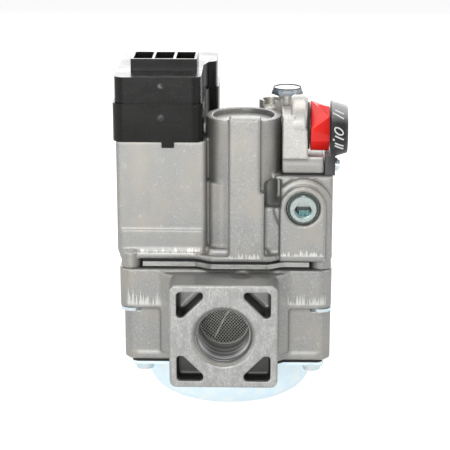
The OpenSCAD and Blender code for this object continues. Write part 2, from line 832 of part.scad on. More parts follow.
module lever_washer() color([0.08, 0.08, 0.08]) difference() {
    rod_x(cock_y, cock_z, 35.92, 36.6, 10.2);
    rod_x(cock_y, cock_z, 35, 38, 3.05);
}
lever_washer();

// Red lever: drum with a pointer rib that faces the index plate
module lever() color([0.88, 0.14, 0.1]) {
    lever_end = lever_x + lever_w;
    difference() {
        union() {
            rod_x(cock_y, cock_z, lever_x, lever_end - 3.4, lever_r);
            translate([lever_end - 3.41, cock_y, cock_z]) rotate([0, 90, 0])
                cylinder(h = 3.41, r1 = lever_r, r2 = lever_r - 2.2);
        }
        difference() {
            rod_x(cock_y, cock_z, lever_x - 1, 43.5, 3);
            block(36.9, 44, cock_y - 5, cock_y + 5, cock_z + 2.15, cock_z + 5);
        }
        rod_x(cock_y, cock_z, 43.4, 46, 4.2);
    }
    // Pointer
    translate([lever_end, 0, 0]) mirror([1, 0, 0]) difference() {
        block(0, 6, cock_y - lever_r + 0.1, cock_y - 6, cock_z - 1.6, cock_z + 3.6);
        translate([2.4, 0, 0]) block(0, 8, 0, 60, cock_z - 2, cock_z + 4);
    }
}
lever();

module lever_screw() color([0.8, 0.8, 0.8]) difference() {
    union() {
        rod_x(cock_y, cock_z, 38.2, 43.6, 1.28);
        rod_x(cock_y, cock_z, 43.52, 45.2, 3);
    }
    block(44.4, 46, cock_y - 4, cock_y + 4, cock_z - 0.4, cock_z + 0.4);
}
lever_screw();

// Cone about the axis of the index plate
module dial_cone(x0, x1, r0, r1) {
    translate([x0, cock_y, dial_z]) rotate([0, 90, 0])
        cylinder(h = x1 - x0, r1 = r0, r2 = r1, $fn = 96);
}

// Fixed index plate: curved rim in front of the lever, leg down to the shelf
module dial_plate() color([0.12, 0.12, 0.12]) difference() {
    union() {
        dial_cone(45.8, 53, 12.6, 10.3);
        block(43.4, 47.7, 24.2, 35.4, shelf_z + 0.1, 74.9);
        block(45.8, 47.7, 24.2, 35.4, 74, 82);
    }
    dial_cone(47.6, 54, 10.9, 8.5);
    rod_x(dial_screw_y, dial_screw_z, 40, 60, 1.7);
}
dial_plate();

module dial_screw() color([0.86, 0.86, 0.88]) difference() {
    union() {
        rod_x(dial_screw_y, dial_screw_z, 37, 47.8, 1.43);
        rod_x(dial_screw_y, dial_screw_z, 47.72, 48.8, 2.9);
        translate([48.78, dial_screw_y, dial_screw_z]) rotate([0, 90, 0])
            cylinder(h = 1.1, r1 = 2.9, r2 = 1.9);
    }
    block(49.1, 52, 26, 34, dial_screw_z - 0.4, dial_screw_z + 0.4);
}
dial_screw();

// ---- Regulator ----

// Hexagonal cap with tapered sides
module regulator_cap() color([0.8, 0.84, 0.86]) difference() {
    translate([reg_x, reg_y, stem_top + 0.02]) intersection() {
        cylinder(h = cap_h, r = 7.1, $fn = 6);
        cylinder(h = cap_h, r1 = 7.2, r2 = 6.2, $fn = 96);
    }
    rod(reg_x, reg_y, stem_top - 1, stem_top + 1.2, 2.8);
}
regulator_cap();

module regulator_adjuster() color([0.8, 0.65, 0.3]) difference() {
    rod(reg_x, reg_y, 79.62, 91.4, 2.64);
    block(reg_x - 4, reg_x + 4, reg_y - 0.5, reg_y + 0.5, 90, 93);
}
regulator_adjuster();

module regulator_button() color([0.75, 0.75, 0.75]) {
    rod(reg_x, reg_y, 78.3, 79.6, 5.4);
    rod(reg_x, reg_y, 76.8, 78.4, 3);
}
regulator_button();

module regulator_spring() color([0.7, 0.7, 0.7])
    spring(reg_x, reg_y, 68.24, 78.26, 4.2, 0.45, 5);
regulator_spring();

module regulator_diaphragm() color([0.12, 0.1, 0.1]) difference() {
    rod(reg_x, reg_y, shelf_z + 0.64, shelf_z + 1.3, 7.95);
    rod(reg_x, reg_y, 60, 70, 5.6);
}
regulator_diaphragm();

module regulator_poppet() color([0.75, 0.75, 0.77]) {
    rod(reg_x, reg_y, 67, 68.2, 5.3);
    rod(reg_x, reg_y, 53, 67.1, 1.2);
    rod(reg_x, reg_y, 52, 55, 2.1);
}
regulator_poppet();

module vent_insert() color([0.8, 0.65, 0.3]) difference() {
    rod(vent_x, vent_y, 89.02, 90.1, 3.45);
    rod(vent_x, vent_y, 88, 92, 0.5);
}
vent_insert();
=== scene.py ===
"""Combination gas valve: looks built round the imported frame."""

import json
import math

import bmesh
import bpy
from mathutils import Matrix, Vector


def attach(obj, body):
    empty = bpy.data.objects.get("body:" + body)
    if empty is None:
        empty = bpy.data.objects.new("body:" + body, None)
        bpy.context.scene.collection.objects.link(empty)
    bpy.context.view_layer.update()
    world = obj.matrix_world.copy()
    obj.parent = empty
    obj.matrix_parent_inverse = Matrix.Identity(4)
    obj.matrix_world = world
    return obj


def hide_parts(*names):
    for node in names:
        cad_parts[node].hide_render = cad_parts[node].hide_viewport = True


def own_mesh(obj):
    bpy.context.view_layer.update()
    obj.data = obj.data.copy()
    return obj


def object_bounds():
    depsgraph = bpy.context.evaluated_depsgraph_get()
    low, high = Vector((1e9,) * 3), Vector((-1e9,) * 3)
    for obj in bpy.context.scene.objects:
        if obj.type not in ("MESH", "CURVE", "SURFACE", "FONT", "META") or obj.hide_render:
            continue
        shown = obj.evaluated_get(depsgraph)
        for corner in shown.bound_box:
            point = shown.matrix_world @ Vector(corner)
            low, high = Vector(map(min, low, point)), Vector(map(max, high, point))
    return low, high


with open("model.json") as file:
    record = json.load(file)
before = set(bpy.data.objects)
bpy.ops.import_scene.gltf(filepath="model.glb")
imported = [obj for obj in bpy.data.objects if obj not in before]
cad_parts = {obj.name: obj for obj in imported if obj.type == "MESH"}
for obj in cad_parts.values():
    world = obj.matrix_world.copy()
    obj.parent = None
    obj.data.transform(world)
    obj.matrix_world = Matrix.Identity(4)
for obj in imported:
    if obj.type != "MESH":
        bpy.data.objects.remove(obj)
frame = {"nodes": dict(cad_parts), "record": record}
CAD_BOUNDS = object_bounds()
NODES = frame["nodes"]
MM = 0.001
BODY = "valve_body"

# Places on the valve, in millimetres
FACE_TO_FACE = 100.0
MIDDLE_Y = FACE_TO_FACE / 2
THREAD_PITCH = 1.814  # 3/4 inch taper pipe thread
THREAD_MOUTH = 1.7
COCK_AXIS = (34.0, 86.0)  # Y, Z
TAP_PLUG_AXIS = (34.0, 52.8)  # X, Z
REGULATOR_AXIS = (27.1, 56.0)  # X, Y
CAP_TOP = 98.32
BOX_MIDDLE_X = -27.4


# ---------------------------------------------------------------- camera

def make_camera():
    """Camera at the front, slightly to the right and above, with a long lens."""
    azimuth, pitch, distance = math.radians(1.5), math.radians(16.6), 684 * MM
    shift_right, shift_up = -0.7 * MM, 48.5 * MM
    forward = Vector((
        -math.sin(azimuth) * math.cos(pitch),
        math.cos(azimuth) * math.cos(pitch),
        -math.sin(pitch),
    ))
    right = Vector((math.cos(azimuth), math.sin(azimuth), 0))
    up = right.cross(forward)
    # The inlet's centre sits left of and below the middle of the frame
    centre = forward * distance + right * shift_right - up * shift_up
    data = bpy.data.cameras.new("camera")
    data.lens = 127.0
    data.sensor_width = 36.0
    camera = bpy.data.objects.new("camera", data)
    rotation = Matrix((right, up, -forward)).transposed().to_4x4()
    camera.matrix_world = Matrix.Translation(-centre) @ rotation
    bpy.context.scene.collection.objects.link(camera)
    bpy.context.scene.camera = camera


# ---------------------------------------------------------------- lights and floor

def area_light(name, place, target, size, power):
    """A soft box of size (width, height) in metres, aimed at a target."""
    data = bpy.data.lights.new(name, "AREA")
    data.shape = "RECTANGLE"
    data.size, data.size_y = size
    data.energy = power
    light = bpy.data.objects.new(name, data)
    light.location = place
    aim = Vector(target) - Vector(place)
    light.rotation_euler = aim.to_track_quat("-Z", "Y").to_euler()
    bpy.context.scene.collection.objects.link(light)


def make_studio():
    """White table, a dim room, and soft boxes above, behind and at both sides."""
    scene = bpy.context.scene
    scene.view_settings.view_transform = "Standard"
    world = bpy.data.worlds.new("studio")
    scene.world = world
    world.use_nodes = True
    background = world.node_tree.nodes["Background"]
    background.inputs["Color"].default_value = (1, 1, 1, 1)
    background.inputs["Strength"].default_value = 0.26
    middle = (0, 0.05, 0.04)
    area_light("top_light", (0.0, 0.05, 0.85), middle, (0.9, 0.7), 8.0)
    area_light("left_light", (-0.75, -0.25, 0.3), middle, (0.5, 0.6), 3.0)
    area_light("right_light", (0.75, -0.25, 0.3), middle, (0.5, 0.6), 2.5)
    area_light("front_light", (-0.12, -0.95, 0.2), (0, 0, 0), (0.3, 0.3), 6.0)
    area_light("back_light", (0.0, 0.95, 0.42), middle, (1.4, 0.5), 9.0)
    low = CAD_BOUNDS[0][2]
    reach = 6.0
    mesh = bpy.data.meshes.new("floor")
    mesh.from_pydata(
        [(-reach, -reach, low), (reach, -reach, low), (reach, reach, low), (-reach, reach, low)],
        [], [(0, 1, 2, 3)],
    )
    floor = bpy.data.objects.new("floor", mesh)
    scene.collection.objects.link(floor)
    material = bpy.data.materials.new("floor_white")
    material.use_nodes = True
    shader = material.node_tree.nodes["Principled BSDF"]
    shader.inputs["Base Color"].default_value = (0.25, 0.25, 0.25, 1)
    shader.inputs["Roughness"].default_value = 0.9
    shader.inputs["Specular IOR Level"].default_value = 0.0
    shader.inputs["Emission Color"].default_value = (1, 1, 1, 1)
    shader.inputs["Emission Strength"].default_value = 0.85
    mesh.materials.append(material)


# ---------------------------------------------------------------- materials

class Surface:
    """A node material built step by step on object coordinates, in metres."""

    def __init__(self, name, metallic=0.0, specular=0.5):
        self.material = bpy.data.materials.new(name)
        self.material.use_nodes = True
        self.tree = self.material.node_tree
        self.shader = self.tree.nodes["Principled BSDF"]
        self.shader.inputs["Metallic"].default_value = metallic
        self.shader.inputs["Specular IOR Level"].default_value = specular
        coordinates = self.new("ShaderNodeTexCoord")
        self.place = coordinates.outputs["Object"]
        self.facing = coordinates.outputs["Normal"]

    def new(self, kind, **values):
        """A node of this kind, with its properties set."""
        node = self.tree.nodes.new(kind)
        for key, value in values.items():
            setattr(node, key, value)
        return node

    def link(self, output, socket):
        self.tree.links.new(output, socket)

    def put(self, value, socket):
        """A number, a colour or another node's output into a socket."""
        if isinstance(value, bpy.types.NodeSocket):
            self.link(value, socket)
        elif isinstance(value, (tuple, list)) and len(value) == 3 and socket.type == "RGBA":
            socket.default_value = (*value, 1)
        else:
            socket.default_value = value

    def scaled(self, stretch):
        """The object coordinates multiplied by stretch."""
        node = self.new("ShaderNodeMapping")
        self.link(self.place, node.inputs["Vector"])
        node.inputs["Scale"].default_value = stretch
        return node.outputs["Vector"]

    def noise(self, size_mm, detail=3.0, rough=0.55, stretch=(1, 1, 1)):
        """Noise with features of about size_mm millimetres, from 0 to 1."""
        node = self.new("ShaderNodeTexNoise")
        self.link(self.scaled(stretch), node.inputs["Vector"])
        node.inputs["Scale"].default_value = 1000.0 / size_mm
        node.inputs["Detail"].default_value = detail
        node.inputs["Roughness"].default_value = rough
        return node.outputs["Fac"]

    def ramp(self, value, low, high, first=0.0, last=1.0):
        """first at low, last at high, straight between and held outside."""
        node = self.new("ShaderNodeMapRange")
        node.clamp = True
        self.put(value, node.inputs["Value"])
        limits = {"From Min": low, "From Max": high, "To Min": first, "To Max": last}
        for key, number in limits.items():
            node.inputs[key].default_value = number
        return node.outputs["Result"]

    def math(self, operation, a, b=0.0):
        """One of Blender's math operations on numbers or outputs."""
        node = self.new("ShaderNodeMath", operation=operation)
        self.put(a, node.inputs[0])
        self.put(b, node.inputs[1])
        return node.outputs[0]

    def product(self, *values):
        result = values[0]
        for value in values[1:]:
            result = self.math("MULTIPLY", result, value)
        return result

    def most(self, *values):
        result = values[0]
        for value in values[1:]:
            result = self.math("MAXIMUM", result, value)
        return result

    def mix(self, share, a, b):
        """Colour a at share 0, colour b at share 1."""
        node = self.new("ShaderNodeMix", data_type="RGBA")
        self.put(share, node.inputs["Factor"])
        self.put(a, node.inputs[6])
        self.put(b, node.inputs[7])
        return node.outputs[2]

    def axis(self, letter, source=None):
        """One coordinate in millimetres, or one part of another vector."""
        node = self.new("ShaderNodeSeparateXYZ")
        self.link(source or self.place, node.inputs[0])
        if source is not None:
            return node.outputs[letter]
        return self.math("MULTIPLY", node.outputs[letter], 1 / MM)

    def band(self, letter, low, high, soft=0.4):
        """1 between two places along an axis, in millimetres, with soft ends."""
        along = self.axis(letter)
        return self.product(
            self.ramp(along, low - soft, low + soft),
            self.ramp(along, high - soft, high + soft, 1.0, 0.0),
        )

    def away_from(self, letters, centre):
        """Distance in millimetres from a line along the third axis."""
        squares = []
        for letter, place in zip(letters, centre):
            gap = self.math("SUBTRACT", self.axis(letter), place)
            squares.append(self.product(gap, gap))
        return self.math("SQRT", self.math("ADD", *squares))

    def convex_edges(self, start=0.53, end=0.6):
        """1 on convex edges."""
        node = self.new("ShaderNodeNewGeometry")
        return self.ramp(node.outputs["Pointiness"], start, end)

    def hollows(self, start=0.48, end=0.42):
        """1 in concave corners."""
        node = self.new("ShaderNodeNewGeometry")
        return self.ramp(node.outputs["Pointiness"], start, end)

    def bump(self, height, depth_mm, strength=1.0, after=None):
        """A normal from a height of 0 to 1, on top of another normal if given."""
        node = self.new("ShaderNodeBump")
        self.put(height, node.inputs["Height"])
        node.inputs["Distance"].default_value = depth_mm * MM
        node.inputs["Strength"].default_value = strength
        if after is not None:
            self.link(after, node.inputs["Normal"])
        return node.outputs["Normal"]

    def finish(self, colour, roughness, normal=None):
        """Connects the shader and returns the material."""
        self.put(colour, self.shader.inputs["Base Color"])
        self.put(roughness, self.shader.inputs["Roughness"])
        if normal is not None:
            self.link(normal, self.shader.inputs["Normal"])
        return self.material


def shade(colour, factor):
    """The colour darker or lighter by a factor."""
    return tuple(min(1.0, c * factor) for c in colour)


def scrapes(s, patches):
    """Bright torn strokes left by the trim die: spiky upwards from each patch's foot.

    A patch is (x0, x1, foot, height), on faces that look along Y.
    """
    across = s.noise(0.7, 3.0, 0.7, (1, 0.02, 0.02))
    broad = s.noise(6.0, 2.0, 0.5, (1, 0.05, 0.05))
    reach = s.math("MULTIPLY", s.ramp(across, 0.4, 0.8), s.ramp(broad, 0.3, 0.7, 0.35, 1.0))
    grain = s.noise(0.5, 2.0, 0.6, (1, 1, 0.14))
    looks_along_y = s.ramp(s.math("ABSOLUTE", s.axis("Y", s.facing)), 0.75, 0.95)
    height_above = s.axis("Z")
    result = None
    for x0, x1, foot, height in patches:
        level = s.math("DIVIDE", s.math("SUBTRACT", height_above, foot), height)
        torn = s.ramp(s.math("SUBTRACT", reach, level), -0.04, 0.06)
        above_foot = s.ramp(level, -0.03, 0.03)
        patch = s.product(torn, above_foot, s.band("X", x0, x1, 0.5))
        result = patch if result is None else s.most(result, patch)
    return s.product(result, looks_along_y, s.ramp(grain, 0.25, 0.6, 0.45, 1.0))


def inside_boxes(s, boxes):
    """1 inside boxes (x0, x1, y0, y1, z0, z1, share) in millimetres, scaled by each share."""
    result = None
    for x0, x1, y0, y1, z0, z1, share in boxes:
        inside = s.product(s.band("X", x0, x1), s.band("Y", y0, y1), s.band("Z", z0, z1), share)
        result = inside if result is None else s.most(result, inside)
    return result


def cast_metal(name, colour, warm, metallic=0.75, patches=(), faced=False, painted_shade=(), painted_light=()):
    """Die casting: fine speckle, broad warm and cool areas, bright edges that are partly wear and
    partly a painted highlight, painted shade in concave corners, torn trim marks.

    patches are torn areas. Of the two lists of boxes, the first is painted shade, metal made dark
    in bores and pockets, and the second is painted light, a sheltered pocket made lighter.
    """
    s = Surface(name, metallic=metallic)
    speck = s.noise(0.5, 2.0, 0.7)
    cloud = s.noise(17.0, 3.0, 0.6)
    flow = s.noise(5.0, 2.0, 0.5, (1, 1, 0.35))
    tone = s.mix(s.ramp(speck, 0.3, 0.7), shade(colour, 0.72), shade(colour, 1.24))
    tone = s.mix(s.ramp(cloud, 0.45, 0.62, 0.0, 0.6), tone, warm)
    tone = s.mix(s.ramp(flow, 0.35, 0.65, 0.0, 0.16), tone, shade(colour, 0.7))
    pits = s.ramp(s.noise(1.5, 1.0, 0.5), 0.67, 0.73)
    tone = s.mix(s.product(pits, 0.4), tone, shade(colour, 1.5))
    # Painted shade: concave corners darkened
    tone = s.mix(s.product(s.hollows(), 0.5), tone, shade(colour, 0.35))
    # Convex edges lighter: partly wear, partly a painted highlight
    bright = s.product(s.convex_edges(), s.ramp(speck, 0.3, 0.6, 0.3, 0.8))
    if patches:
        bright = s.most(bright, scrapes(s, patches))
    if faced:
        # The two flange faces are cut flat after casting
        off_centre = s.math("ABSOLUTE", s.math("SUBTRACT", s.axis("Y"), MIDDLE_Y))
        cut = s.ramp(off_centre, MIDDLE_Y - 0.35, MIDDLE_Y - 0.15)
        strokes = s.noise(0.8, 3.0, 0.75, (1.0, 1.0, 0.5))
        smears = s.noise(4.5, 3.0, 0.6, (1.0, 1.0, 0.6))
        faced_tone = s.mix(s.ramp(strokes, 0.3, 0.7), shade(colour, 0.85), shade(colour, 1.6))
        faced_tone = s.mix(s.ramp(smears, 0.42, 0.6, 0.0, 0.6), faced_tone, shade(colour, 0.85))
        tone = s.mix(cut, tone, faced_tone)
    # Painted light: a sheltered pocket made lighter, as if light bounced into it
    if painted_light:
        tone = s.mix(inside_boxes(s, painted_light), tone, shade(colour, 2.6))
    # Painted shade: boxes in bores and pockets made dark, with no lighter edges there
    if painted_shade:
        shade_share = inside_boxes(s, painted_shade)
        tone = s.mix(shade_share, tone, shade(colour, 0.12))
        bright = s.product(bright, s.ramp(shade_share, 0.0, 0.5, 1.0, 0.0))
    tone = s.mix(s.product(bright, 0.85), tone, (0.56, 0.56, 0.545))
    rough = s.ramp(speck, 0.2, 0.8, 0.4, 0.56)
    normal = s.bump(speck, 0.07, 0.6)
    normal = s.bump(s.noise(3.0, 2.0, 0.5), 0.08, 0.35, after=normal)
    return s.finish(tone, rough, normal)


def machined(name, colour, stretch=(1, 1, 14), metallic=0.85, rough=(0.25, 0.4)):
    """Turned or cut metal with fine lines."""
    s = Surface(name, metallic=metallic)
    lines = s.noise(2.0, 2.0, 0.6, stretch)
    tone = s.mix(lines, shade(colour, 0.8), shade(colour, 1.12))
    return s.finish(tone, s.ramp(lines, 0.3, 0.7, *rough), s.bump(lines, 0.03, 0.4))


def cut_thread(name, colour):
    """Freshly cut pipe thread: bright crests, and painted shade in the dark roots."""
    s = Surface(name, metallic=0.7)
    fine = s.noise(0.6, 2.0, 0.6, (1, 3, 1))
    # The same helix as the turns: height above the mouth plus the share of a turn
    whole_turns_added = 20.0
    from_middle = s.math("ABSOLUTE", s.math("SUBTRACT", s.axis("Y"), MIDDLE_Y))
    turns = s.math("DIVIDE", s.math("SUBTRACT", MIDDLE_Y - THREAD_MOUTH, from_middle), THREAD_PITCH)
    share = s.math("DIVIDE", s.math("ARCTAN2", s.axis("Z"), s.axis("X")), 2 * math.pi)
    phase = s.math("FRACT", s.math("ADD", s.math("ADD", turns, share), whole_turns_added))
    from_root = s.math("MINIMUM", phase, s.math("SUBTRACT", 1.0, phase))
    crest = s.mix(fine, shade(colour, 0.75), colour)
    # Painted shade in the roots of the turns
    tone = s.mix(s.ramp(from_root, 0.08, 0.3), shade(colour, 0.16), crest)
    # Over the turns, a painted highlight and painted shade in bands that are wider than a turn
    turns_a_band = 2.4
    angle = s.math("MULTIPLY", s.math("ADD", turns, share), 2 * math.pi / turns_a_band)
    tone = s.mix(s.ramp(s.math("SINE", angle), -0.5, 0.5, 0.0, 0.75), tone, shade(colour, 0.32))
    return s.finish(tone, s.ramp(fine, 0.3, 0.7, 0.3, 0.45), s.bump(fine, 0.02, 0.2))


def zinc_cap(name, colour):
    """Turned zinc-plated cap: broken edges darker as painted shade, and faces that look up lighter
    as painted top light.
    """
    s = Surface(name, metallic=0.55)
    cloud = s.noise(5.0, 2.0, 0.5)
    tone = s.mix(s.ramp(cloud, 0.4, 0.6), shade(colour, 0.62), (0.27, 0.33, 0.4))
    # Painted top light: faces that look up lighter
    tone = s.mix(s.ramp(s.axis("Z", s.facing), 0.6, 0.95), tone, shade(colour, 1.3))
    # Painted shade: convex edges darkened
    tone = s.mix(s.product(s.convex_edges(0.52, 0.58), 0.7), tone, shade(colour, 0.2))
    return s.finish(tone, s.ramp(cloud, 0.3, 0.7, 0.3, 0.38), s.bump(cloud, 0.01, 0.05))


def plated(name, colour, tint, metallic=0.85, rough=(0.16, 0.3), speckle=0.12):
    """Zinc plate: bright, with faint coloured patches and fine speckle."""
    s = Surface(name, metallic=metallic)
    cloud = s.noise(6.0, 3.0, 0.5)
    fine = s.noise(0.5, 2.0, 0.5)
    tone = s.mix(s.ramp(cloud, 0.4, 0.65), colour, tint)
    tone = s.mix(s.ramp(fine, 0.3, 0.7, 0.0, speckle), tone, shade(colour, 0.6))
    return s.finish(tone, s.ramp(fine, 0.3, 0.7, *rough), s.bump(fine, 0.01, speckle))


def zinc_plug(name, colour):
    """Zinc-plated screw plug: a light grey rim, and painted light, shade and reflection in its
    socket, in three bands.
    """
    s = Surface(name, metallic=0.8)
    away = s.away_from("XZ", TAP_PLUG_AXIS)
    fine = s.noise(0.6, 2.0, 0.5)
    cloud = s.noise(3.0, 2.0, 0.5)
    tone = s.mix(s.ramp(cloud, 0.35, 0.65), colour, (0.33, 0.4, 0.385))
    socket = s.ramp(away, 3.5, 4.15, 1.0, 0.0)
    # Painted light, shade and reflection in the socket: a light foot above, the dark far wall in
    # the middle, a teal reflection below
    level = s.math("SUBTRACT", s.axis("Z"), TAP_PLUG_AXIS[1])
    shadow = s.mix(s.ramp(level, -2.0, -1.6), (0.1, 0.21, 0.21), (0.012, 0.02, 0.02))
    shadow = s.mix(s.ramp(level, -0.4, 0.2), shadow, (0.36, 0.4, 0.39))
    tone = s.mix(s.product(socket, 0.85), tone, shadow)
    # Painted shade: a darker ring at the step round the socket
    ring = s.product(s.ramp(away, 5.0, 5.6), s.ramp(away, 5.7, 6.2, 1.0, 0.0))
    tone = s.mix(s.product(ring, 0.5), tone, (0.2, 0.27, 0.26))
    return s.finish(tone, s.ramp(fine, 0.3, 0.7, 0.2, 0.36), s.bump(fine, 0.02, 0.15))


def moulded(name, colour, rough=(0.28, 0.42), specular=0.5, dusty=0.06, painted_top_light=0.0):
    """Moulded plastic: flow marks, a fine eroded grain, specks, and faces that look up made lighter
    as painted top light.
    """
    s = Surface(name, specular=specular)
    flow = s.noise(14.0, 2.0, 0.5, (1, 1, 2.5))
    grain = s.noise(0.4, 2.0, 0.6)
    dust = s.ramp(s.noise(0.8, 0.0, 0.4), 0.76, 0.8)
    tone = s.mix(flow, shade(colour, 0.85), shade(colour, 1.15))
    tone = s.mix(s.product(s.convex_edges(0.54, 0.62), 0.08), tone, (0.6, 0.6, 0.6))
    tone = s.mix(s.product(dust, dusty), tone, (0.7, 0.7, 0.7))
    # Painted top light: faces that look up lighter
    if painted_top_light > 0:
        looks_up = s.ramp(s.axis("Z", s.facing), 0.4, 1.0, 0.0, painted_top_light)
        tone = s.mix(looks_up, tone, (0.6, 0.6, 0.6))
    return s.finish(tone, s.ramp(flow, 0.3, 0.7, *rough), s.bump(grain, 0.02, 0.3))


def box_plastic(name, colour):
    """Glossy black case with two faint ejector marks on the front."""
    s = Surface(name, specular=0.16)
    flow = s.noise(16.0, 2.0, 0.5, (1, 1, 2.5))
    grain = s.noise(0.4, 2.0, 0.6)
    tone = s.mix(flow, shade(colour, 0.8), shade(colour, 1.2))
    specks = s.ramp(s.noise(0.7, 0.0, 0.4), 0.77, 0.8)
    tone = s.mix(s.product(specks, 0.035), tone, (0.7, 0.7, 0.7))
    looks_front = s.ramp(s.axis("Y", s.facing), -0.95, -0.8, 1.0, 0.0)
    marks = None
    for centre_z, radius, share in ((105.6, 1.0, 0.16), (92.0, 1.2, 0.12)):
        away = s.away_from("XZ", (BOX_MIDDLE_X, centre_z))
        spot = s.product(s.ramp(away, radius - 0.3, radius + 0.4, 1.0, 0.0), share)
        marks = spot if marks is None else s.most(marks, spot)
    patchy = s.ramp(s.noise(1.0, 2.0, 0.6), 0.35, 0.6)
    tone = s.mix(s.product(marks, patchy, looks_front), tone, (0.7, 0.7, 0.7))
    return s.finish(tone, s.ramp(flow, 0.3, 0.7, 0.2, 0.3), s.bump(grain, 0.015, 0.3))


def rubber(name, colour):
    """Dull grainy rubber or gasket sheet."""
    s = Surface(name, specular=0.35)
    grain = s.noise(0.8, 3.0, 0.6)
    tone = s.mix(grain, shade(colour, 0.7), shade(colour, 1.6))
    return s.finish(tone, s.ramp(grain, 0.3, 0.7, 0.6, 0.85), s.bump(grain, 0.04, 0.5))


def winding(name, colour):
    """Enamelled wire wound in rings along Z."""
    s = Surface(name, metallic=0.7)
    wave = s.new("ShaderNodeTexWave", bands_direction="Z")
    s.link(s.place, wave.inputs["Vector"])
    wave.inputs["Scale"].default_value = 500.0
    wave.inputs["Distortion"].default_value = 0.4
    rings = wave.outputs["Fac"]
    # Painted shade: darker between the turns of wire
    tone = s.mix(rings, shade(colour, 0.5), colour)
    return s.finish(tone, 0.35, s.bump(rings, 0.1, 0.7))


def make_materials():
    """One material for each slot of the record, and a few for single nodes."""
    grey, warm = (0.265, 0.266, 0.258), (0.3, 0.28, 0.245)
    return {
        "cast_body": cast_metal("cast_body", grey, warm, faced=True, patches=[
            (-43.0, -25.0, 8.0, 15.0), (25.0, 46.5, 8.5, 14.0),
        ], painted_shade=[
            # Painted shade in the bore and in the flange pockets
            (-12.6, 12.6, 20.0, 80.0, -12.6, 12.6, 0.95),
            (-21.0, 21.0, 1.6, 12.0, -21.0, 21.0, 0.85),
            (-21.0, 21.0, 88.0, 98.4, -21.0, 21.0, 0.85),
        ]),
        "cast_upper": cast_metal("cast_upper", shade(grey, 0.97), warm, patches=[
            (-44.0, -9.0, 31.4, 4.6), (2.2, 15.2, 30.4, 6.0), (24.3, 43.8, 31.4, 7.0),
        # Painted light in the pocket beside the tower
        ], painted_light=[(15.5, 23.9, 24.6, 42.0, 52.0, 66.2, 0.8)]),
        "cast_housing": cast_metal(
            "cast_housing", (0.41, 0.405, 0.385), (0.38, 0.325, 0.27), 0.6,
            # Painted shade on the lower front of the housing
            painted_shade=[(20.0, 46.0, 20.0, 80.0, 60.0, 73.1, 0.4)],
        ),
        "cut_thread": cut_thread("cut_thread", (0.5, 0.51, 0.5)),
        # Near black for the cap's lip: painted shade
        "rim_steel": machined("rim_steel", (0.05, 0.055, 0.06), metallic=0.2, rough=(0.5, 0.6)),
        "dull_steel": machined("dull_steel", (0.12, 0.12, 0.12), rough=(0.5, 0.6)),
        "plate_steel": machined("plate_steel", (0.33, 0.33, 0.32), (0.25, 1, 5)),
        "black_gasket": rubber("black_gasket", (0.01, 0.01, 0.01)),
        "zinc_fastener": plated("zinc_fastener", (0.58, 0.62, 0.64), (0.46, 0.62, 0.66)),
        "zinc_plug": zinc_plug("zinc_plug", (0.35, 0.37, 0.36)),
        "zinc_cap": zinc_cap("zinc_cap", (0.5, 0.52, 0.53)),
        "zinc_cover": plated(
            "zinc_cover", (0.58, 0.71, 0.79), (0.66, 0.74, 0.75), 0.4, (0.34, 0.44), 0.03,
        ),
        "diaphragm_rubber": rubber("diaphragm_rubber", (0.02, 0.02, 0.02)),
        "turned_steel": machined("turned_steel", (0.6, 0.6, 0.62)),
        "spring_steel": machined("spring_steel", (0.55, 0.55, 0.57), (3, 3, 3)),
        "screen_wire": machined(
            "screen_wire", (0.74, 0.74, 0.7), (6, 6, 6), 0.5, rough=(0.3, 0.45),
        ),
        "box_plastic": box_plastic("box_plastic", (0.008, 0.008, 0.0075)),
        "dial_plastic": moulded(
            "dial_plastic", (0.013, 0.013, 0.014), (0.4, 0.5), specular=0.26, painted_top_light=0.5,
        ),
        "red_plastic": moulded(
            "red_plastic", (0.56, 0.012, 0.008), (0.28, 0.38), specular=0.28, dusty=0.0,
        ),
        "mark_white": moulded("mark_white", (0.46, 0.47, 0.46), (0.35, 0.5), dusty=0.0),
        "blade_metal": machined("blade_metal", (0.8, 0.77, 0.66), (1, 1, 8)),
        "board_green": moulded("board_green", (0.03, 0.16, 0.06)),
        "component_plastic": moulded("component_plastic", (0.05, 0.06, 0.08)),
        "bobbin_plastic": moulded("bobbin_plastic", (0.75, 0.72, 0.62)),
        "copper_wire": winding("copper_wire", (0.6, 0.24, 0.1)),
        "turned_brass": machined("turned_brass", (0.75, 0.53, 0.2)),
    }


OWN_MATERIAL = {
    "upper_body": "cast_upper",
    "regulator_cap": "zinc_cap",
    "lever_washer": "black_gasket",
    # Parts seen through the inlet made dark as painted shade inside the valve; the disc's black is
    # also its rubber's own
    "main_valve_disc": "black_gasket",
    "diaphragm_plate": "dull_steel",
    "main_valve_stem": "dull_steel",
}


def paint_nodes(materials):
    """Each CAD node takes the material of its slot in the record, or its own."""
    for part in frame["record"]["subparts"]:
        thing = NODES[part["node"]]
        thing.data.materials.clear()
        name = OWN_MATERIAL.get(part["node"], part["material_slot"])
        thing.data.materials.append(materials[name])


# ---------------------------------------------------------------- softer CAD shapes

def cast_skin(node, voxel_mm, passes):
    """Rounds a casting's edges as a die leaves them."""
    thing = NODES[node]
    skin = thing.modifiers.new("cast_skin", "REMESH")
    skin.mode = "VOXEL"
    skin.voxel_size = voxel_mm * MM
    skin.use_smooth_shade = True
    soft = thing.modifiers.new("cast_soft", "SMOOTH")
    soft.factor = 0.5
    soft.iterations = passes


def bevelled(thing, width_mm, segments=2, angle=32):
    """Breaks the sharp edges of a machined or moulded part."""
    for face in thing.data.polygons:
        face.use_smooth = True
    edge = thing.modifiers.new("broken_edges", "BEVEL")
    edge.width = width_mm * MM
    edge.segments = segments
    edge.limit_method = "ANGLE"
    edge.angle_limit = math.radians(angle)
    edge.harden_normals = True


# ---------------------------------------------------------------- pieces made here

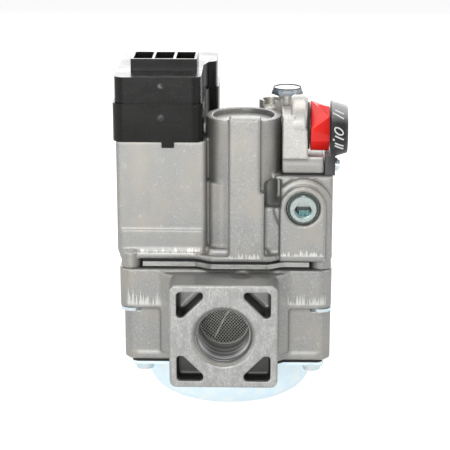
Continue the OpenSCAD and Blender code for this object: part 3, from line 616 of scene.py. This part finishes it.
def add_piece(name, vertices, faces, material, body=BODY, smooth=True, angle=35):
    """A mesh piece from vertices in millimetres, riding on a body."""
    mesh = bpy.data.meshes.new(name)
    mesh.from_pydata([tuple(c * MM for c in v) for v in vertices], [], faces)
    mesh.validate()
    piece = bpy.data.objects.new(name, mesh)
    bpy.context.scene.collection.objects.link(piece)
    tidy = bmesh.new()
    tidy.from_mesh(mesh)
    bmesh.ops.recalc_face_normals(tidy, faces=tidy.faces)
    tidy.to_mesh(mesh)
    tidy.free()
    for face in mesh.polygons:
        face.use_smooth = smooth
    if smooth:
        mesh.set_sharp_from_angle(angle=math.radians(angle))
    mesh.materials.append(material)
    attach(piece, body)
    return piece


class Pile:
    """Vertices and faces of several closed parts that make one piece."""

    def __init__(self):
        self.vertices, self.faces = [], []

    def add(self, part):
        base = len(self.vertices)
        self.vertices.extend(part[0])
        self.faces.extend(tuple(base + i for i in face) for face in part[1])


def ring_grid(rings):
    """Faces that join equal rings of points into a closed tube of rings."""
    count, sides = len(rings), len(rings[0])
    faces = []
    for i in range(count):
        j = (i + 1) % count
        for k in range(sides):
            m = (k + 1) % sides
            faces.append((i * sides + k, i * sides + m, j * sides + m, j * sides + k))
    return [p for ring in rings for p in ring], faces


def around(radius, y, sides):
    """A ring of points round the port axis."""
    return [
        (radius * math.cos(2 * math.pi * k / sides), y, radius * math.sin(2 * math.pi * k / sides))
        for k in range(sides)
    ]


def thread_insert(name, from_y, to_y, material):
    """Taper pipe thread: a closed sleeve whose inner wall carries the turns."""
    pitch, depth, wall_r, start_r = THREAD_PITCH, 0.95, 12.3, 12.15
    run_in, taper, flank = 2.5, 1 / 32, 2.6
    steps, sides = 12, 96
    turns = abs(to_y - from_y) / pitch
    direction = 1 if to_y > from_y else -1
    rings = []
    for i in range(int(turns * steps) + 1):
        along = i / steps * pitch
        ring = []
        for k in range(sides):
            share = k / sides
            phase = (along / pitch + share) % 1.0
            tooth = min(1.0, flank * min(phase, 1 - phase))
            fade = min(1.0, along / run_in)
            radius = start_r - depth * tooth * fade - along * taper
            angle = 2 * math.pi * share
            y = from_y + direction * along
            ring.append((radius * math.cos(angle), y, radius * math.sin(angle)))
        rings.append(ring)
    rings.append(around(wall_r, to_y, sides))
    rings.append(around(wall_r, from_y, sides))
    vertices, faces = ring_grid(rings)
    return add_piece(name, vertices, faces, material, angle=70)


def wire(points, radius, sides=5):
    """Vertices and faces of a closed wire along points."""
    vertices, faces = [], []
    for i, p in enumerate(points):
        ahead = Vector(points[min(i + 1, len(points) - 1)]) - Vector(points[max(i - 1, 0)])
        ahead.normalize()
        side = ahead.cross(Vector((0, 1, 0)))
        if side.length < 0.05:
            side = ahead.cross(Vector((1, 0, 0)))
        side.normalize()
        over = ahead.cross(side)
        for k in range(sides):
            a = 2 * math.pi * k / sides
            spoke = side * radius * math.cos(a) + over * radius * math.sin(a)
            vertices.append(tuple(Vector(p) + spoke))
    for i in range(len(points) - 1):
        for k in range(sides):
            m = (k + 1) % sides
            faces.append((i * sides + k, i * sides + m, (i + 1) * sides + m, (i + 1) * sides + k))
    faces.append(tuple(range(sides))[::-1])
    faces.append(tuple((len(points) - 1) * sides + k for k in range(sides)))
    return vertices, faces


def woven_screen(material):
    """Inlet strainer: a woven wire cone with a rim ring and a folded seam."""
    mouth_y, rim_r, depth, pitch, gauge, crimp = 21.5, 10.9, 5.0, 1.0, 0.12, 0.14
    tilt, shortest_half = math.radians(4), 1.2
    pile = Pile()

    def cone_y(x, z):
        return mouth_y + depth * max(0.0, 1 - math.hypot(x, z) / rim_r) ** 0.85

    count = int(rim_r / pitch)
    for family in (1, -1):
        turn = math.radians(45) * family + tilt
        for n in range(-count, count + 1):
            offset = n * pitch
            half = math.sqrt(max(rim_r ** 2 - offset ** 2, 0))
            if half < shortest_half:
                continue
            steps = max(8, int(half * 2 / (pitch / 3)))
            points = []
            for i in range(steps + 1):
                t = -half + 2 * half * i / steps
                x = t * math.cos(turn) - offset * math.sin(turn)
                z = t * math.sin(turn) + offset * math.cos(turn)
                weave = crimp * math.cos(math.pi * t / pitch + n * math.pi) * family
                points.append((x, cone_y(x, z) + weave, z))
            pile.add(wire(points, gauge, 4))
    rim_sides = 64
    pile.add(ring_grid([
        around(r, y, rim_sides)
        for r, y in ((11.3, 21.4), (11.3, 22.6), (10.75, 22.6), (10.75, 21.4))
    ]))
    seam_turn, seam_from, seam_to, seam_steps = 0.49, -9.5, 4.0, 24
    seam = []
    for i in range(seam_steps + 1):
        t = seam_from + (seam_to - seam_from) * i / seam_steps
        x, z = t * math.sin(seam_turn), t * math.cos(seam_turn)
        seam.append((x, cone_y(x, z) - 0.3, z))
    pile.add(wire(seam, 0.33))
    piece = add_piece("woven_strainer", pile.vertices, pile.faces, material)
    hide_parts("inlet_screen")
    return piece


def lever_knob(material):
    """Red lever of flat facets between a wide left rim and a smaller right one."""
    axis_y, axis_z = COCK_AXIS
    lean = math.radians(16.6)
    toward = Vector((0, -math.cos(lean), math.sin(lean)))
    upward = Vector((0, math.sin(lean), math.cos(lean)))
    left_x, right_x = 37.0, 45.2

    def corner(x, turn_deg, radius):
        a = math.radians(turn_deg)
        spoke = math.cos(a) * toward + math.sin(a) * upward
        return Vector((x, axis_y, axis_z)) + radius * spoke

    # Corners of each rim as (turn in degrees, radius)
    left = [
        (90, 11.05), (-14.5, 10.8), (-43, 10.9), (-75, 11.0),
        (-105, 11.0), (-140, 10.8), (178, 10.8), (132, 10.8),
    ]
    right = [
        (63.5, 9.0), (20, 9.6), (-29.6, 9.4), (-45, 10.2),
        (-88, 10.9), (-140, 10.6), (165, 10.0), (112, 9.2),
    ]
    count = len(left)
    vertices = [corner(left_x, *place) for place in left]
    vertices += [corner(right_x, *place) for place in right]
    vertices.append(corner(39.4, 84, 9.3))
    crest = 2 * count
    faces = [
        (0, 1, count + 1), (0, count + 1, crest), (crest, count + 1, count),
        (0, crest, count + 7), (crest, count, count + 7), (0, count + 7, 7),
        (1, count + 2, count + 1), (1, 2, count + 3, count + 2),
    ]
    faces += [(k, k + 1, count + k + 1) for k in range(2, count - 1)]
    faces += [(k, count + k + 1, count + k) for k in range(3, count - 1)]
    faces.append(tuple(range(count)))
    faces.append(tuple(range(2 * count - 1, count - 1, -1)))
    piece = add_piece(
        "lever_knob", vertices, faces, material, body="lever_group", smooth=False,
    )
    bevelled(piece, 0.35, 2, 4)
    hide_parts("lever")
    return piece


def coil_up(node):
    """A copy of a spring, riding on the body in place of its CAD node."""
    source = NODES[node]
    spring = bpy.data.objects.new("flexing_" + node, source.data.copy())
    bpy.context.scene.collection.objects.link(spring)
    spring.matrix_world = source.matrix_world.copy()
    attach(spring, BODY)
    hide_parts(node)
    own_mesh(spring)


def cap_rim(material):
    """Low lip round the hex cap's flat top, near black to stand for the shade at its rim: painted
    shade.
    """
    centre_x, centre_y = REGULATOR_AXIS
    foot, lip, sides = CAP_TOP - 0.22, CAP_TOP + 0.34, 72
    rings = []
    for radius, z in ((6.2, foot), (6.25, lip), (5.9, lip), (5.86, foot)):
        rings.append([
            (centre_x + radius * math.cos(2 * math.pi * k / sides),
             centre_y + radius * math.sin(2 * math.pi * k / sides), z) for k in range(sides)
        ])
    vertices, faces = ring_grid(rings)
    return add_piece("cap_rim", vertices, faces, material)


def dial_marks(material):
    """Plain raised marks on the dial's rim: a ring and slanted graduations."""
    axis_y, axis_z = COCK_AXIS[0], COCK_AXIS[1] - 1.4
    wide_x, wide_r, narrow_x, narrow_r = 45.8, 12.6, 53.0, 10.3
    rise, root, half_width, longest_step = 0.28, -0.25, 0.28, 0.6

    def on_dial(x, turn_deg, lift):
        radius = wide_r + (narrow_r - wide_r) * (x - wide_x) / (narrow_x - wide_x) + lift
        a = math.radians(turn_deg)
        return (x, axis_y - radius * math.cos(a), axis_z + radius * math.sin(a))

    def stroke(path, closed=False):
        """A raised strip along (x, turn) places; turns are in degrees."""
        mean_radius = 11.5
        degree = math.radians(1) * mean_radius
        flat = [Vector((x, turn * degree)) for x, turn in path]
        fine = []
        for a, b in zip(flat, flat[1:] + flat[:1] if closed else flat[1:]):
            pieces = max(1, int((b - a).length / longest_step))
            fine.extend(a + (b - a) * i / pieces for i in range(pieces))
        if not closed:
            fine.append(flat[-1])
        rings = []
        last = len(fine) - 1
        for i, p in enumerate(fine):
            before = fine[i - 1] if closed or i > 0 else p
            after = fine[(i + 1) % len(fine)] if closed or i < last else p
            along = (after - before).normalized()
            across = Vector((-along.y, along.x)) * half_width
            low, high = p - across, p + across
            section = ((low, root), (low, rise), (high, rise), (high, root))
            rings.append([on_dial(q.x, q.y / degree, lift) for q, lift in section])
        vertices, faces = ring_grid(rings)
        if not closed:
            sides = 4
            faces = faces[: -sides]
            faces.append(tuple(range(sides)))
            faces.append(tuple(last * sides + k for k in range(sides - 1, -1, -1)))
        return vertices, faces

    pile = Pile()
    ring_sides, lean = 20, -2.4
    middle_x, half_x, middle_turn, half_turn = 48.95, 1.85, 7.5, 6.5
    loop = []
    for k in range(ring_sides):
        a = 2 * math.pi * k / ring_sides
        x = half_x * math.cos(a)
        loop.append((middle_x + x, middle_turn + half_turn * math.sin(a) + lean * x))
    pile.add(stroke(loop, closed=True))
    # Slanted graduations above and below the ring, then two short ticks
    long_strokes = ((54.0, 47.5), (44.0, 35.5), (-1.5, -12.0), (-17.0, -29.0), (-23.0, -38.0))
    for first, last in long_strokes:
        pile.add(stroke([(47.3, first), (51.1, last)]))
    for first, last in ((46.0, 43.0), (-7.5, -11.0)):
        pile.add(stroke([(46.4, first), (47.1, last)]))
    return add_piece("dial_marks", pile.vertices, pile.faces, material, angle=25)


# ---------------------------------------------------------------- build

make_camera()
make_studio()
MATERIALS = make_materials()
paint_nodes(MATERIALS)
for casting, voxel in (("lower_body", 0.62), ("upper_body", 0.62), ("cock_housing", 0.42)):
    cast_skin(casting, voxel, passes=2)
for part, width in (
    ("box_base", 0.5), ("box_cover", 0.5), ("terminal_block", 0.2),
    ("separator_plate", 0.3), ("dial_plate", 0.35), ("pressure_tap_plugs", 0.12),
    ("body_screws", 0.3), ("cover_screws", 0.25), ("dial_screw", 0.3), ("bottom_cover", 0.3),
    ("tower_cap", 0.3), ("lever_washer", 0.15), ("housing_screws", 0.2),
):
    bevelled(NODES[part], width)
thread_insert("inlet_thread", THREAD_MOUTH, 19.5, MATERIALS["cut_thread"])
thread_insert("outlet_thread", FACE_TO_FACE - THREAD_MOUTH, 83.1, MATERIALS["cut_thread"])
woven_screen(MATERIALS["screen_wire"])
cap_rim(MATERIALS["rim_steel"])
for coil, joint, fixed_z, travel in (
    ("pilot_spring", "pilot_lift", 72.57, 1.2), ("main_plunger_spring", "main_lift", 72.57, 1.2),
    ("safety_spring", "safety_lift", 81.97, 2.2), ("main_spring", "main_valve_travel", -36.85, 4.0),
    ("regulator_spring", "adjuster_advance", 68.24, 1.6),
):
    coil_up(coil)
lever_knob(MATERIALS["red_plastic"])
dial_marks(MATERIALS["mark_white"])
